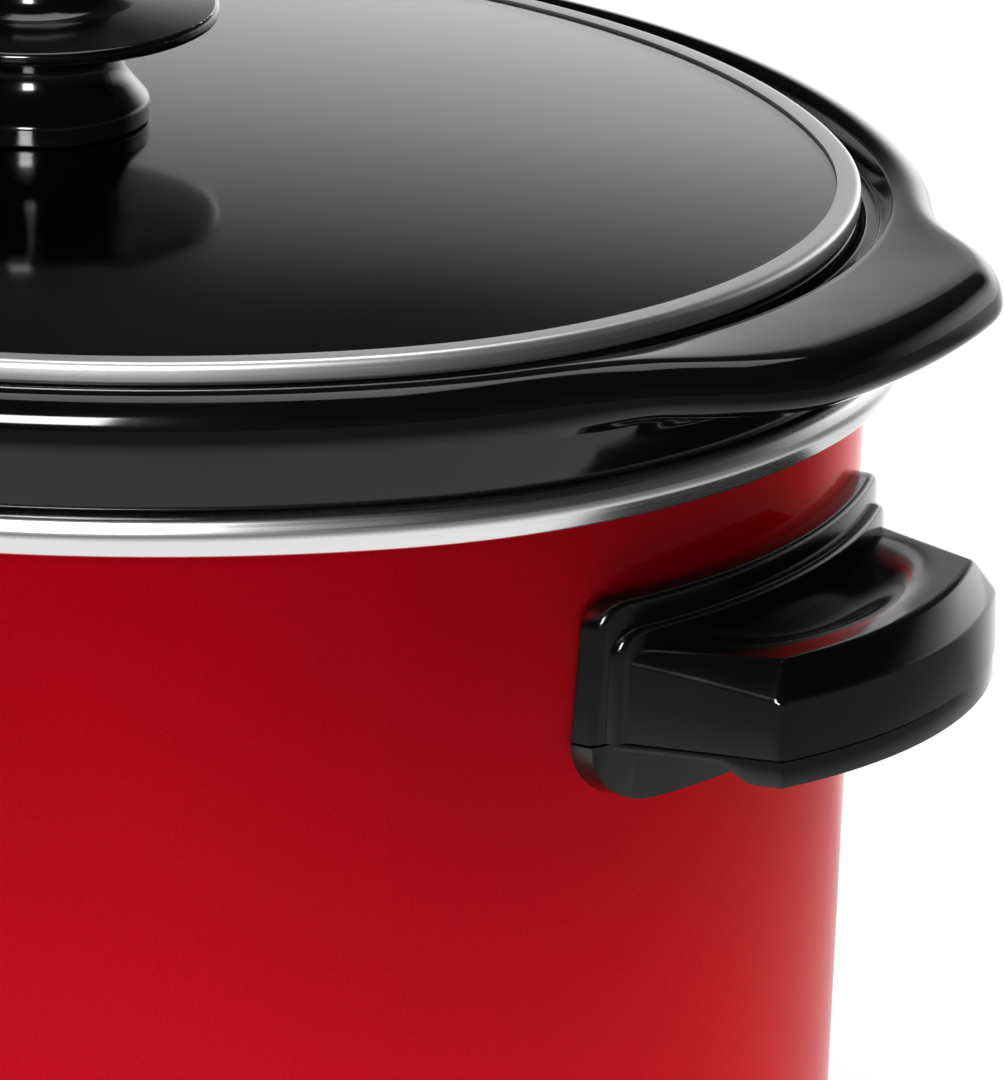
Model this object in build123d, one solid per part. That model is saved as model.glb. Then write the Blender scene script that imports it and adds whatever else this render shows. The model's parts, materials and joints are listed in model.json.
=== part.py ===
from build123d import *
from math import atan2, cos, degrees, hypot, radians, sin, tan
import os

# Oval slow cooker in millimetres. The origin is the bottom centre, on the table.
# +X runs along the length through the handles, -Y is the front with the control, +Z is up.
# Plan shapes are offsets of one oval, the outside of the lid's steel band.

# Overall sizes
lid_half_length = 165.0         # outside of the lid band along X
lid_half_width = 135.9          # the same along Y
oval_fullness = 0.72            # end radius below the half width, per mm of length over width
seat_height = 205.0             # lid seat above the table
foot_height = 10.8              # underside of the base plate above the table
rest_gap = 0.3                  # air left where a lift-off part sits on the one below

# Housing and trim ring
housing_sheet = 0.9
housing_offset_top = 1.2        # housing outside the lid oval, at the trim's lower edge
housing_taper = 0.042           # inward lean of the wall per mm down
housing_flange = 6.5            # inward turn at the bottom edge
housing_bend = 3.0
rim_drop = 22.0                 # top of the trim ring below the lid seat
trim_height = 9.9
trim_sheet = 0.8
trim_bulge = 10.6               # corner of its bulge, before rounding
trim_shoulder = 3.6             # that corner below the ring's top
trim_foot = 2.2                 # offset of its lower edge
trim_crown = 9.4                # offset at which its top turns level
trim_bends = (2.6, 1.8)         # bulge and crown

# Heating liner, band and insulation
liner_sheet = 0.8
liner_offset_top = -5.2         # inside of the liner at its flange
liner_taper = 0.072
liner_floor = 58.0              # top of its floor above the table
liner_corner = 24.0
liner_bend = 3.0                # between its flange and its wall
floor_run = 6.0                 # flat floor outside the corner's start
band_low = 70.0
band_height = 46.0
band_thickness = 1.5
strap_height = 6.0
strap_thickness = 0.8
insulation_thickness = 3.2
insulation_margin = 3.0         # blanket short of the strap above and below

# Crock
crock_gap = 2.8                 # air between crock and liner wall
crock_floor_gap = 3.0
crock_wall = 8.0
crock_floor = 8.5
crock_corner = 28.0             # outside radius round the floor
flange_thickness = 9.7
lip_inside = 2.6                # drop lip of the rim, offsets of its two faces
lip_outside = 8.0
rim_bulge = 16.2                # corner of its rolled outside, before rounding
rim_bulge_drop = 4.0            # that corner below the lid seat
rim_crest = 11.0                # offset and height of the roll's crest
rim_crest_rise = 3.2
rim_inner = 6.0                 # offset and height of the roll's inner edge
rim_inner_rise = 1.6
gutter_outside = 3.6            # gutter between the lid and the roll
gutter_inside = 0.4
gutter_depth = 3.0
seat_outside = -0.4             # ledge that the lid sits on
seat_inside = -12.5
throat_drop = 13.0              # where the ledge has curved down into the wall
ear_reach = 35.0                # tip of the ear outside the lid oval
ear_corner_half = 35.5
ear_corner_back = 2.4           # corners behind the tip
ear_root_half = 58.0
ear_root_offset = 14.5          # offset at which the flanks leave the rim
ear_thickness = 11.4
ear_rise = 2.2                  # top of the ear above the lid seat
ear_edge = 5.2
ear_corner_radius = 16.0
ear_root_radius = 12.0
ear_front_radius = 150.0
ear_inside = 10.0               # offset at which the ear has merged into the rim

# Lid
lid_band_height = 4.4
lid_band_width = 4.6
lid_band_sheet = 0.8
glass_thickness = 2.8
glass_rise = 5.0                # crown of the glass above its edge
glass_flat = 80.0               # inset from the edge at which the glass turns level

# Lid knob
knob_base_radius = 21.3
knob_base_edge = 4.0
knob_neck_radius = 16.0
knob_flare = 6.5                # height over which the neck widens to its base
knob_stand = 19.6               # underside of the grip disc above the glass
knob_disc_radius = 34.8
knob_disc_edge = 3.0
knob_hub_radius = 14.0
knob_hub_height = 8.0
knob_crown = 1.6                # rise of the disc towards the hub
knob_underside_edge = 1.5       # chamfered lower edge of the disc
knob_screw_radius = 2.5
knob_screw_head = 5.0
knob_screw_head_height = 2.6
knob_screw_depth = 6.5          # screw's end above the grip's underside
knob_washer_radius = 9.0
knob_washer_thickness = 1.0
blind_hole_gap = 0.5            # blind hole past its screw's end

# Side handles
handle_top = 47.5               # below the lid seat
handle_seam = 75.2
handle_bottom = 88.0
handle_half_width = 50.5
handle_plate = 4.1
handle_corner = 6.0
apron_corner = 14.0
boss_step = 2.0                 # boss proud of the plate
boss_margin = 2.8
boss_drop = 5.0
grip_top = 56.8                 # below the lid seat
grip_reach = 35.0               # front of the grip outside the lid oval, at its middle
grip_corner = 26.0              # the same at its corners
grip_root_half = 48.6
grip_tip_half = 39.0
grip_bevel = 4.4                # bevel along its front, in from the edge and down
grip_bevel_drop = 6.8
grip_wall = 3.2
grip_cover = 1.4
grip_lip = 5.6
grip_lip_width = 10.0
handle_screw_radius = 2.0
handle_screw_head = 3.6
handle_screw_head_height = 2.4
handle_screw_lift = 0.08        # head clear of the curved strip
handle_screw_length = 7.5
handle_screw_spacing = 50.0
handle_screw_drop = 64.0
backing_thickness = 1.2
backing_half_width = 34.0
backing_half_height = 8.0

# Base and feet
base_thickness = 1.2
base_inset = 2.0                # base plate inside the housing's bottom edge
stud_radius = 3.0
nut_flats = 10.0
nut_height = 5.0
tie_washer_radius = 9.0
tie_washer_thickness = 1.2
foot_angle = 42.0               # round the end arc's centre
foot_inset = 24.0
foot_top_radius = 15.0
foot_tip_radius = 12.5
pad_radius = 9.5
pad_height = 3.5
pad_proud = 1.5                 # pad below the foot's rim
foot_pocket = 6.5               # top of the foot's pocket above the table
foot_screw_radius = 2.0
foot_screw_head = 3.6
foot_screw_head_height = 2.2
vent_length = 26.0
vent_width = 3.0
vent_pitch = 10.5               # rows of slots
stud_end = 0.6                  # stud past its nut
foot_screw_end = 3.0            # foot screws inside the base plate

# Control
control_height = 38.0
bezel_radius = 27.0
bezel_stand = 4.6               # bezel face in front of the housing at the control's height
bezel_back = 8.0                # stock behind that height, cut back to the housing
bezel_chamfer = 1.2
bezel_wall = 2.0                # face wall in front of the spigot
bezel_bore_gap = 0.6            # air round the shaft
spigot_clearance = 1.5          # bezel spigot round the switch bushing
spigot_reach = 3.0              # spigot behind the housing's outside
dial_radius = 19.5
dial_skirt = 4.0
dial_depth = 15.0
dial_gap = 0.5
dial_bar = 9.0
dial_bar_inset = 1.5            # bar's ends in from the dial's edge
dial_edge = 1.4
dial_bar_edge = 1.2
dial_cap = 4.0                  # plastic in front of the shaft's end
pointer_width = 1.6
pointer_length = 11.8
pointer_inner = 4.9             # its inner end from the dial's middle
pointer_depth = 0.8
shaft_radius = 3.0
shaft_clearance = 0.05
switch_size = 28.0
switch_depth = 14.0
switch_setback = 8.5            # bracket face behind the housing's inside
bushing_radius = 4.5
bushing_length = 6.0
bracket_sheet = 1.2
bracket_half_width = 18.0
bracket_foot = 14.0
bracket_bend = 2.5
bracket_margin = 2.0            # bracket above the switch
shaft_end_gap = 0.2             # rotor bore past the shaft's end
switch_nut_height = 2.5
switch_nut_flats = 13.0

# Mains side
gland_height = 30.0
gland_flange_radius = 12.0
gland_flange = 2.6
gland_neck_radius = 8.0
gland_neck = 9.0
gland_edge = 1.2
cord_slot_length = 9.0
cord_slot_width = 5.4
block_length = 36.0
block_width = 16.0
block_height = 14.0
block_setback = 38.0            # block face in from the housing's outside
block_pitch = 10.0
well_radius = 2.0
well_floor = 5.0                # bottom of the wells above the base plate
well_screw_drop = 2.0           # screws below the block's top
fuse_radius = 3.2
fuse_length = 26.0
fuse_place = 30.0               # fuse behind the centre
clip_sheet = 0.8
clip_width = 8.0
clip_foot = 7.0                 # tabs welded to the liner
clip_air = 0.01                 # the clip's bends just short of touching
lead_radius = 1.3
lead_bend = 7.0
lead_rise = 8.0                 # leads above the base plate
fuse_tail = 60.0                # heating band's tails, off the centre along X
switch_tail = 55.0
lead_start = 16.0               # straight run out of a terminal
tail_drop = 14.0                # fuse lead below the cut-out
switch_tab = 8.0                # switch's heater tab, off its middle

# Derived places
end_radius = lid_half_width - oval_fullness * (lid_half_length - lid_half_width)
end_centre = lid_half_length - end_radius
side_drop = lid_half_width - end_radius
side_centre = (end_centre**2 - side_drop**2) / (2 * side_drop)
side_radius = lid_half_width + side_centre
end_half_span = degrees(atan2(side_centre, end_centre))
trim_top = seat_height - rim_drop
trim_low = trim_top - trim_height
liner_top = trim_top - trim_sheet
housing_top = liner_top - liner_sheet
housing_bottom = foot_height + base_thickness
crock_bottom = liner_floor + crock_floor_gap
crock_seat = seat_height - rest_gap
floor_top = crock_bottom + crock_floor
glass_low = seat_height + lid_band_sheet
glass_top = glass_low + glass_thickness + glass_rise

os.makedirs("parts", exist_ok=True)


def housing_outside(height):
    return housing_offset_top - housing_taper * (trim_low - height)


def housing_inside(height):
    return housing_outside(height) - housing_sheet * hypot(1, housing_taper)


def liner_inside(height):
    return liner_offset_top - liner_taper * (liner_top - height)


def liner_outside(height):
    return liner_inside(height) + liner_sheet * hypot(1, liner_taper)


def crock_outside(height):
    return liner_inside(height) - crock_gap


def crock_inside(height):
    return crock_outside(height) - crock_wall


def outline(corners):
    """Closed face through (x, y, radius) corners, each rounded by its own radius."""
    points = [Vector(x, y) for x, y, _ in corners]
    edges = []
    joins = []
    for index, (here, (_, _, radius)) in enumerate(zip(points, corners)):
        before = (points[index - 1] - here).normalized()
        after = (points[(index + 1) % len(points)] - here).normalized()
        if radius == 0:
            joins.append((here, here))
            continue
        half_angle = radians(before.get_angle(after)) / 2
        reach = radius / tan(half_angle)
        middle = here + (before + after).normalized() * (radius / sin(half_angle) - radius)
        joins.append((here + before * reach, here + after * reach))
        edges.append(ThreePointArc(joins[-1][0], middle, joins[-1][1]))
    for index, (arrive, _) in enumerate(joins):
        leave = joins[index - 1][1]
        if (arrive - leave).length > 0.001:
            edges.append(Line(leave, arrive))
    return make_face(edges)


def bent_sheet(points, bends, thickness):
    """Section of a bent sheet that lies to the left of the points, with a radius at each bend."""
    face = [Vector(*point) for point in points]
    runs = [(b - a).normalized() for a, b in zip(face, face[1:])]
    left = [Vector(-run.Y, run.X) for run in runs]
    back = [face[0] + left[0] * thickness]
    back_bends = []
    for index, bend in enumerate(bends):
        one, two = left[index], left[index + 1]
        turns_left = runs[index].cross(runs[index + 1]).Z > 0
        back.append(face[index + 1] + (one + two) * (thickness / (1 + one.dot(two))))
        back_bends.append(bend - thickness if turns_left else bend + thickness)
    back.append(face[-1] + left[-1] * thickness)
    front_side = list(zip(face, [0, *bends, 0]))
    back_side = list(zip(back, [0, *back_bends, 0]))[::-1]
    return outline([(point.X, point.Y, bend) for point, bend in front_side + back_side])


def wall_band(low, high, inner_face, thickness):
    """Section of a band that leans with the wall it lies on."""
    return outline([
        (inner_face(low), low, 0), (inner_face(low) + thickness, low, 0),
        (inner_face(high) + thickness, high, 0), (inner_face(high), high, 0),
    ])


def carried(section, centre, radius, middle, half_span):
    """Section of (offset, height) carried round one arc of the oval."""
    start = radians(middle - half_span)
    outward = Vector(cos(start), sin(start))
    plane = Plane(Vector(*centre) + outward * radius, x_dir=outward, z_dir=(sin(start), -cos(start), 0))
    return revolve(plane * section, Axis(centre, (0, 0, 1)), 2 * half_span)


def end_ring(section):
    return carried(section, (end_centre, 0, 0), end_radius, 0, end_half_span)


def oval_ring(section):
    """Section carried all round the oval."""
    end = end_ring(section)
    side = carried(section, (0, -side_centre, 0), side_radius, 90, 90 - end_half_span)
    return end + side + mirror(end, about=Plane.YZ) + mirror(side, about=Plane.XZ)


def oval_face(offset):
    end_span = 2 * end_half_span
    side_span = 180 - end_span
    return make_face([
        CenterArc((end_centre, 0), end_radius + offset, -end_half_span, end_span),
        CenterArc((0, -side_centre), side_radius + offset, end_half_span, side_span),
        CenterArc((-end_centre, 0), end_radius + offset, 180 - end_half_span, end_span),
        CenterArc((0, side_centre), side_radius + offset, 180 + end_half_span, side_span),
    ])


def oval_plate(offset, low, high):
    return Pos(0, 0, low) * extrude(oval_face(offset), high - low)


def disc(radius, low, high, x=0, y=0):
    return Pos(x, y, low) * extrude(Circle(radius), high - low)


def rod(radius, start, end, x, z):
    """Round bar along Y between two places."""
    return Pos(x, start, z) * Rot(-90, 0, 0) * extrude(Circle(radius), end - start)


def turned(corners):
    """Solid of revolution about Z from (radius, height, rounding) corners."""
    return revolve(Plane.XZ * outline(corners), Axis.Z, 360)


def housing_core():
    """Everything inside the housing's outer face, to cut what sits on it."""
    low, high, depth = foot_height, seat_height, -60
    return oval_ring(outline([
        (depth, low, 0), (housing_outside(low), low, 0),
        (housing_outside(high), high, 0), (depth, high, 0),
    ]))


def front_face(height):
    return -lid_half_width - housing_outside(height)


def outer_housing():
    """Painted steel wrapper with holes for the handles, the control and the cord."""
    corner = housing_outside(housing_bottom)
    top = housing_top - housing_sheet * housing_taper
    body = oval_ring(bent_sheet(
        [(corner - housing_flange, housing_bottom), (corner, housing_bottom),
         (housing_outside(top), top)], [housing_bend], housing_sheet))
    wall = lid_half_width + housing_outside(0)
    spigot = bushing_radius + spigot_clearance
    body -= rod(spigot, front_face(control_height) - 5, -wall + 20, 0, control_height)
    body -= rod(gland_neck_radius, wall - 20, wall + 20, 0, gland_height)
    return body - handle_screw_set(handle_screw_radius, 12)


def trim_ring():
    """Rolled steel ring that caps the joint of housing and liner."""
    return oval_ring(bent_sheet(
        [(trim_foot, trim_low), (trim_bulge, trim_top - trim_shoulder), (trim_crown, trim_top),
         (liner_offset_top, trim_top)], trim_bends, trim_sheet))


def heating_liner():
    """Sheet pot that holds the crock; its flange hangs on the housing's top edge."""
    flat = liner_inside(liner_floor) - liner_corner - floor_run
    wall = oval_ring(bent_sheet(
        [(housing_outside(housing_top), liner_top), (liner_offset_top, liner_top),
         (liner_inside(liner_floor), liner_floor), (flat, liner_floor)],
        [liner_bend, liner_corner], liner_sheet))
    return wall + oval_plate(flat, liner_floor - liner_sheet, liner_floor)


def heating_band():
    return oval_ring(wall_band(band_low, band_low + band_height, liner_outside, band_thickness))


def band_face(height):
    return liner_outside(height) + band_thickness


def band_straps():
    """Two steel straps that hold the heating band against the liner."""
    low = oval_ring(wall_band(band_low, band_low + strap_height, band_face, strap_thickness))
    top = band_low + band_height
    high = oval_ring(wall_band(top - strap_height, top, band_face, strap_thickness))
    return Compound([*low.solids(), *high.solids()])


def insulation_blanket():
    low = band_low + strap_height + insulation_margin
    high = band_low + band_height - strap_height - insulation_margin
    return oval_ring(wall_band(low, high, band_face, insulation_thickness))


def crock_ear():
    """Flat lifting ear at the +X end, rounded all along its edge."""
    tip = lid_half_length + ear_reach
    notch = end_centre + ((end_radius + ear_root_offset)**2 - ear_root_half**2)**0.5
    start = notch - ear_root_radius
    half = [
        (start, ear_root_half + 4, 0), (notch, ear_root_half, ear_root_radius),
        (tip - ear_corner_back, ear_corner_half, ear_corner_radius),
    ]
    plan = outline([(x, -y, r) for x, y, r in half] + [(tip, 0, ear_front_radius)] + half[::-1])
    low = seat_height + ear_rise - ear_thickness
    ear = Pos(0, 0, low) * extrude(plan, ear_thickness)
    flat_edges = ear.edges().filter_by(lambda edge: abs(edge.center().Z - low - ear_thickness / 2) > 1)
    ear = fillet(flat_edges.filter_by(lambda edge: edge.center().X > start + 1), ear_edge)
    return ear - oval_plate(ear_inside, low - 1, low + ear_thickness + 1)


def stoneware_crock():
    """Glazed pot: thick wall, rolled rim with a drop lip, lid ledge with a gutter, and two ears."""
    seat = crock_seat
    under = seat - flange_thickness
    foot = trim_top + rest_gap
    gutter = seat - gutter_depth
    flat = crock_inside(floor_top) - crock_corner - 4
    throat = seat - throat_drop
    outside = [
        (flat, crock_bottom, 0), (crock_outside(crock_bottom), crock_bottom, crock_corner),
        (crock_outside(under), under, 4), (lip_inside, under, 3.5), (lip_inside, foot, 1.2),
        (lip_outside, foot, 2.0), (rim_bulge, seat - rim_bulge_drop, 8),
        (rim_crest, seat + rim_crest_rise, 5),
    ]
    inside = [
        (rim_inner, seat + rim_inner_rise, 1.5),
        (gutter_outside, gutter, 1.4), (gutter_inside, gutter, 1.2),
        (seat_outside, seat, 0.8), (seat_inside, seat, 3), (crock_inside(throat), throat, 8),
        (crock_inside(floor_top), floor_top, crock_corner - crock_wall), (flat, floor_top, 0),
    ]
    bowl = oval_ring(outline(outside + inside)) + oval_plate(flat, crock_bottom, floor_top)
    ear = crock_ear()
    return bowl + ear + mirror(ear, about=Plane.YZ)


def lid_glass():
    """Low dome with a level edge in the band and a level middle under the knob."""
    edge = -lid_band_sheet
    ease = lid_band_sheet * 0.75
    flat = -glass_flat
    rise_end = -lid_band_width - 1
    run = rise_end - flat
    bend = (run**2 + glass_rise**2) / (2 * glass_rise)
    lean = atan2(run, bend - glass_rise) / 2
    mid_run = bend * sin(lean)
    mid_drop = bend * (1 - cos(lean))
    low = glass_low
    high = low + glass_thickness
    top_arc = ThreePointArc(
        (rise_end, high), (flat + mid_run, high + glass_rise - mid_drop), (flat, high + glass_rise))
    under_arc = ThreePointArc(
        (flat, low + glass_rise), (flat + mid_run, low + glass_rise - mid_drop), (rise_end, low))
    section = make_face([
        top_arc, Line((flat, high + glass_rise), (flat, low + glass_rise)), under_arc,
        Line((rise_end, low), (edge - ease, low)), Line((edge - ease, low), (edge, low + ease)),
        Line((edge, low + ease), (edge, high - ease)), Line((edge, high - ease), (edge - ease, high)),
        Line((edge - ease, high), (rise_end, high)),
    ])
    middle = oval_plate(flat, low + glass_rise, high + glass_rise)
    return oval_ring(section) + middle - disc(knob_screw_radius, low, high + glass_rise + 1)


def lid_band():
    """Steel channel rolled round the glass edge."""
    top = seat_height + glass_thickness + 2 * lid_band_sheet
    return oval_ring(bent_sheet(
        [(-lid_band_width + 1, seat_height), (0, seat_height), (0, top), (-lid_band_width, top)],
        [1.0, 1.4], lid_band_sheet))


def lid_knob_base():
    """Waisted spacer between glass and grip."""
    return turned([
        (knob_screw_radius, glass_top, 0), (knob_base_radius, glass_top, 0.6),
        (knob_base_radius, glass_top + knob_base_edge, 1.5),
        (knob_neck_radius, glass_top + knob_base_edge + knob_flare, 8),
        (knob_neck_radius, glass_top + knob_stand, 0), (knob_screw_radius, glass_top + knob_stand, 0),
    ])


def lid_knob_grip():
    """Grip disc with a raised hub; the screw ends blind inside it."""
    low = glass_top + knob_stand
    rim = low + knob_disc_edge
    top = rim + knob_hub_height
    body = turned([
        (0, low, 0), (knob_disc_radius - knob_underside_edge, low, 0.8),
        (knob_disc_radius, low + knob_underside_edge / 2, 1.2),
        (knob_disc_radius, rim, 1.0), (knob_hub_radius + knob_crown, rim + knob_crown, 5),
        (knob_hub_radius, top, 3.5), (0, top - knob_crown / 3, 0),
    ])
    return body - disc(knob_screw_radius, low, low + knob_screw_depth + blind_hole_gap)


def lid_knob_screw():
    """Pan-head screw from inside the lid."""
    head = glass_low + glass_rise - knob_washer_thickness
    shank = disc(knob_screw_radius, head, glass_top + knob_stand + knob_screw_depth)
    under = head - knob_screw_head_height
    edge = knob_screw_head
    cap = turned([(0, under, 0), (edge, under, 1.2), (edge, head, 0), (0, head, 0)])
    return shank + cap


def lid_knob_washer():
    high = glass_low + glass_rise
    low = high - knob_washer_thickness
    return disc(knob_washer_radius, low, high) - disc(knob_screw_radius, low, high)


def handle_outline(half_width, low, high, low_radius, high_radius):
    """Upright outline across the +X end, pushed through the whole wall."""
    face = outline([
        (-half_width, low, low_radius), (half_width, low, low_radius),
        (half_width, high, high_radius), (-half_width, high, high_radius),
    ])
    return extrude(Plane.YZ.offset(end_centre) * face, end_radius + 80)


def handle_shell(low, high, thickness):
    """Skin of the given thickness on the housing's end, between two heights."""
    return end_ring(wall_band(low, high, housing_outside, thickness))


def grip_plan(inset):
    """Half-tongue outline of the grip seen from above, drawn in by the inset."""
    root = lid_half_length - 16
    corner = lid_half_length + grip_corner - inset
    front = lid_half_length + grip_reach - inset
    root_half, tip_half = grip_root_half - inset, grip_tip_half - inset
    return make_face([
        Line((root, -root_half), (corner, -tip_half)),
        ThreePointArc((corner, -tip_half), (front, 0), (corner, tip_half)),
        Line((corner, tip_half), (root, root_half)), Line((root, root_half), (root, -root_half)),
    ])


def handle_body():
    """Upper moulding: wall plate, raised boss and hollow grip, down to the seam."""
    seam = seat_height - handle_seam
    plate_high = seat_height - handle_top
    boss_high = plate_high - boss_drop
    top = seat_height - grip_top
    low = seam - handle_corner
    plate = handle_shell(seam, plate_high, handle_plate)
    plate &= handle_outline(handle_half_width, low, plate_high, 0, handle_corner)
    boss = handle_shell(seam, boss_high, handle_plate + boss_step)
    boss &= handle_outline(handle_half_width - boss_margin, low, boss_high, 0, handle_corner)
    grip = Pos(0, 0, seam) * extrude(grip_plan(0), top - seam)
    front_edge = grip.edges().filter_by(GeomType.CIRCLE).sort_by(Axis.Z)[-1]
    grip = chamfer(front_edge, grip_bevel_drop, grip_bevel)
    hollow = Pos(0, 0, seam - 1) * extrude(grip_plan(grip_wall), top - seam - grip_bevel_drop + 1)
    start = lid_half_length + handle_plate + boss_step
    hollow &= Pos(start + 50, 0, seam) * Box(100, 200, 100)
    return (plate + boss + grip) - hollow - housing_core() - handle_screw_set(handle_screw_radius, 0)


def handle_cover():
    """Lower moulding: apron below the seam, grip underside and finger lip."""
    seam = seat_height - handle_seam
    low = seat_height - handle_bottom
    apron = handle_shell(low, seam, handle_plate)
    apron &= handle_outline(handle_half_width, low, seam + 1, apron_corner, 0)
    under = Pos(0, 0, seam - grip_cover) * extrude(grip_plan(0), grip_cover)
    crescent = grip_plan(0) - Pos(-grip_lip_width, 0, 0) * grip_plan(0)
    crescent &= Pos(lid_half_length + 50, 0, 0) * Rectangle(100, 200)
    lip = Pos(0, 0, seam - grip_lip) * extrude(crescent, grip_lip - grip_cover)
    return (apron + under + lip) - housing_core()


def handle_backing():
    """Steel strip inside the housing that the handle screws pull against."""
    middle = seat_height - handle_screw_drop
    low, high = middle - backing_half_height, middle + backing_half_height
    strip = end_ring(wall_band(
        low, high, lambda height: housing_inside(height) - backing_thickness, backing_thickness))
    strip &= handle_outline(backing_half_width, low - 1, high + 1, 0, 0)
    return strip - handle_screw_set(handle_screw_radius, 12)


def handle_screw_planes():
    """Screw places on the backing strips' inner faces, square to the wall."""
    height = seat_height - handle_screw_drop
    reach = end_radius + housing_inside(height) - backing_thickness
    turn = degrees(atan2(handle_screw_spacing / 2, reach))
    lean = degrees(atan2(housing_taper, 1))
    planes = []
    for side in (0, 180):
        for swing in (-turn, turn):
            spin = Rot(0, 0, side + swing)
            centre = end_centre if side == 0 else -end_centre
            planes.append(Pos(centre, 0, height) * spin * Pos(reach, 0, 0) * Rot(0, 90 + lean, 0))
    return planes


def handle_screw_set(radius, run_in):
    """Shanks of the four handle screws; run_in lengthens them inwards as hole cutters."""
    length = backing_thickness + housing_sheet + handle_screw_length
    shank = Pos(0, 0, -run_in) * extrude(Circle(radius), length + run_in)
    return Compound([place * shank for place in handle_screw_planes()])


def handle_screws():
    length = backing_thickness + housing_sheet + handle_screw_length
    lift = handle_screw_lift
    end = -handle_screw_head_height - lift
    rim = handle_screw_head
    head = turned([(0, end, 0), (rim, end, 1.0), (rim, -lift, 0), (0, -lift, 0)])
    screw = head + Pos(0, 0, -lift) * extrude(Circle(handle_screw_radius), length + lift - 0.5)
    return Compound([place * screw for place in handle_screw_planes()])


def foot_places():
    reach = end_radius + housing_outside(housing_bottom) - foot_inset
    x = end_centre + reach * cos(radians(foot_angle))
    y = reach * sin(radians(foot_angle))
    return {"front_left": (-x, -y), "front_right": (x, -y), "rear_left": (-x, y), "rear_right": (x, y)}


def base_plate():
    """Flat steel closing plate with slots for air and holes for its fixings."""
    body = oval_plate(housing_outside(housing_bottom) - base_inset, foot_height, housing_bottom)
    body -= disc(stud_radius, foot_height, housing_bottom)
    for x, y in foot_places().values():
        body -= disc(foot_screw_radius, foot_height, housing_bottom, x, y)
    slot = extrude(SlotOverall(vent_length, vent_width), base_thickness + 2)
    for row in (-2, -1, 1, 2):
        for side in (-1, 1):
            body -= Pos(side * vent_length, row * vent_pitch, foot_height - 1) * slot
    return body


def tie_stud():
    """Stud welded under the liner; it pulls liner, housing and base plate together."""
    nut_low = foot_height - tie_washer_thickness - nut_height
    return disc(stud_radius, nut_low - stud_end, liner_floor - liner_sheet)


def tie_washer():
    low = foot_height - tie_washer_thickness
    return disc(tie_washer_radius, low, foot_height) - disc(stud_radius, low, foot_height)


def tie_nut():
    low = foot_height - tie_washer_thickness - nut_height
    hexagon = RegularPolygon(nut_flats / 2, 6, major_radius=False)
    return Pos(0, 0, low) * extrude(hexagon - Circle(stud_radius), nut_height)


def foot(x, y):
    """Moulded foot with a pocket for its rubber pad."""
    body = turned([
        (foot_screw_radius, foot_pocket, 0), (pad_radius, foot_pocket, 0), (pad_radius, pad_proud, 0),
        (foot_tip_radius, pad_proud, 1.0), (foot_top_radius, foot_height, 0),
        (foot_screw_radius, foot_height, 0),
    ])
    return Pos(x, y, 0) * body


def foot_pad(x, y):
    body = turned([(0, 0, 0), (pad_radius, 0, 1.0), (pad_radius, pad_height, 0), (0, pad_height, 0)])
    return Pos(x, y, 0) * body


def foot_screws():
    """Screws in the feet's pockets, up through the base plate."""
    under = foot_pocket - foot_screw_head_height
    head = turned([
        (0, under, 0), (foot_screw_head, under, 0.8),
        (foot_screw_head, foot_pocket, 0), (0, foot_pocket, 0),
    ])
    screw = head + disc(foot_screw_radius, foot_pocket, housing_bottom + foot_screw_end)
    return Compound([Pos(x, y, 0) * screw for x, y in foot_places().values()])


def bezel_front():
    return front_face(control_height) - bezel_stand


def bracket_front():
    return front_face(control_height) + housing_sheet + switch_setback


def control_bezel():
    """Round dial plate; its back follows the housing."""
    front, wall = bezel_front(), front_face(control_height)
    body = rod(bezel_radius, front, wall + bezel_back, 0, control_height)
    body = chamfer(body.edges().filter_by(GeomType.CIRCLE).sort_by(Axis.Y)[0], bezel_chamfer)
    spigot = rod(
        bushing_radius + spigot_clearance, front + bezel_wall, wall + spigot_reach, 0, control_height)
    body = (body - housing_core()) + spigot
    bore = shaft_radius + bezel_bore_gap
    return body - rod(bore, front - 1, wall + bezel_back, 0, control_height)


def control_knob():
    """Skirted dial with a finger bar, bored for the shaft."""
    back = bezel_front() - dial_gap
    face = back - dial_skirt
    front = back - dial_depth
    skirt = rod(dial_radius, face, back, 0, control_height)
    skirt = fillet(skirt.edges().filter_by(GeomType.CIRCLE).sort_by(Axis.Y)[0], dial_edge)
    bar = Pos(0, (front + face) / 2, control_height) * Box(
        2 * (dial_radius - dial_bar_inset), face - front, dial_bar)
    bar = fillet(bar.edges().filter_by(Axis.Y), dial_bar / 2 - 0.4)
    bar = fillet(bar.faces().sort_by(Axis.Y)[0].edges(), dial_bar_edge)
    socket = rod(shaft_radius, front + dial_cap, back, 0, control_height)
    return skirt + bar - socket - pointer_bar(front)


def pointer_bar(front):
    middle = -pointer_inner - pointer_length / 2
    bar = Box(pointer_length, pointer_depth, pointer_width)
    return Pos(middle, front + pointer_depth / 2, control_height) * bar


def knob_pointer():
    """Pale inlay that marks the setting."""
    return pointer_bar(bezel_front() - dial_gap - dial_depth)


def knob_shaft():
    """Switch rotor shaft, carried in the switch's bushing."""
    front = bezel_front() - dial_gap - dial_depth + dial_cap
    return rod(shaft_radius, front, bracket_front() + switch_depth / 2, 0, control_height)


def rotary_switch():
    """Four-position switch body with a threaded bushing through its bracket."""
    face = bracket_front() + bracket_sheet
    body = Pos(0, face + switch_depth / 2, control_height) * Box(switch_size, switch_depth, switch_size)
    body += rod(bushing_radius, bracket_front() - bushing_length, face, 0, control_height)
    bore = shaft_radius + shaft_clearance
    end = bracket_front() + switch_depth / 2 + shaft_end_gap
    return body - rod(bore, bracket_front() - bushing_length, end, 0, control_height)


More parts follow.
